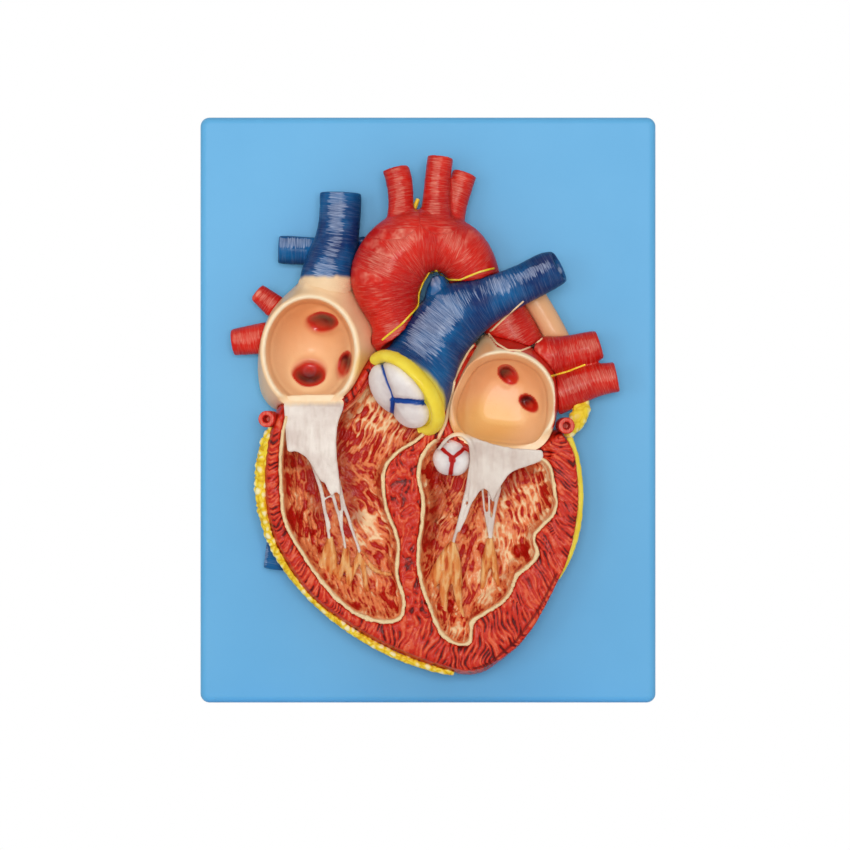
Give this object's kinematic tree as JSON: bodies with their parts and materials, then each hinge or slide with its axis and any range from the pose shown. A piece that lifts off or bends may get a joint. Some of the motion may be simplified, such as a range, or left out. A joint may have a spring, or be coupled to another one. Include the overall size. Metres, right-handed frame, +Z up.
{
  "type": "heart anatomy relief model",
  "caption": "Wall-hung teaching relief of a human heart cut open from the front, with chambers, valves and great vessels on a flat rectangular board.",
  "frame": {"origin": "centre of the wall face, the flat back of the board", "axes": "+Z up, +X to the right as the viewer sees the front, +Y out of the back into the wall; the relief faces -Y"},
  "size_m": [0.35, 0.1089, 0.45],
  "materials": {
    "board_blue": "smooth moulded, satin",
    "panel_blue": "flat sheet, matt",
    "screw_steel": "plated",
    "muscle_red": "hand-painted casting, gloss",
    "endocardium_cream": "hand-painted casting, gloss",
    "atrium_peach": "hand-painted casting, gloss",
    "vein_blue": "hand-painted casting, gloss",
    "artery_red": "hand-painted casting, gloss",
    "fat_yellow": "hand-painted casting, gloss",
    "valve_white": "hand-painted casting, gloss",
    "papillary_cream": "hand-painted casting, gloss"
  },
  "bodies": {
    "root": {"aortic_arch": "artery_red", "aortic_valve_cusps": "valve_white", "back_panel": "panel_blue", "back_panel_screws": "screw_steel", "base_board": "board_blue", "brachiocephalic_trunk": "artery_red", "descending_aorta": "artery_red", "fat_pad": "fat_yellow", "heart_fixing_screws": "screw_steel", "heart_wall": "muscle_red", "inferior_vena_cava": "vein_blue", "left_atrium": "atrium_peach", "left_auricle": "atrium_peach", "left_carotid_artery": "artery_red", "left_coronary_stub": "artery_red", "left_fat_band": "fat_yellow", "left_lower_pulmonary_vein": "artery_red", "left_papillary_muscles": "papillary_cream", "left_subclavian_artery": "artery_red", "left_upper_pulmonary_vein": "artery_red", "left_ventricle_lining": "endocardium_cream", "mitral_chordae": "valve_white", "mitral_leaflet": "valve_white", "pulmonary_trunk": "vein_blue", "pulmonary_valve_cusps": "valve_white", "pulmonary_valve_ring": "fat_yellow", "right_atrium": "atrium_peach", "right_coronary_stub": "artery_red", "right_fat_band": "fat_yellow", "right_lower_pulmonary_vein": "artery_red", "right_papillary_muscles": "papillary_cream", "right_upper_pulmonary_vein": "artery_red", "right_ventricle_lining": "endocardium_cream", "side_vein": "vein_blue", "superior_vena_cava": "vein_blue", "tricuspid_chordae": "valve_white", "tricuspid_leaflet": "valve_white"}
  },
  "joints": []
}
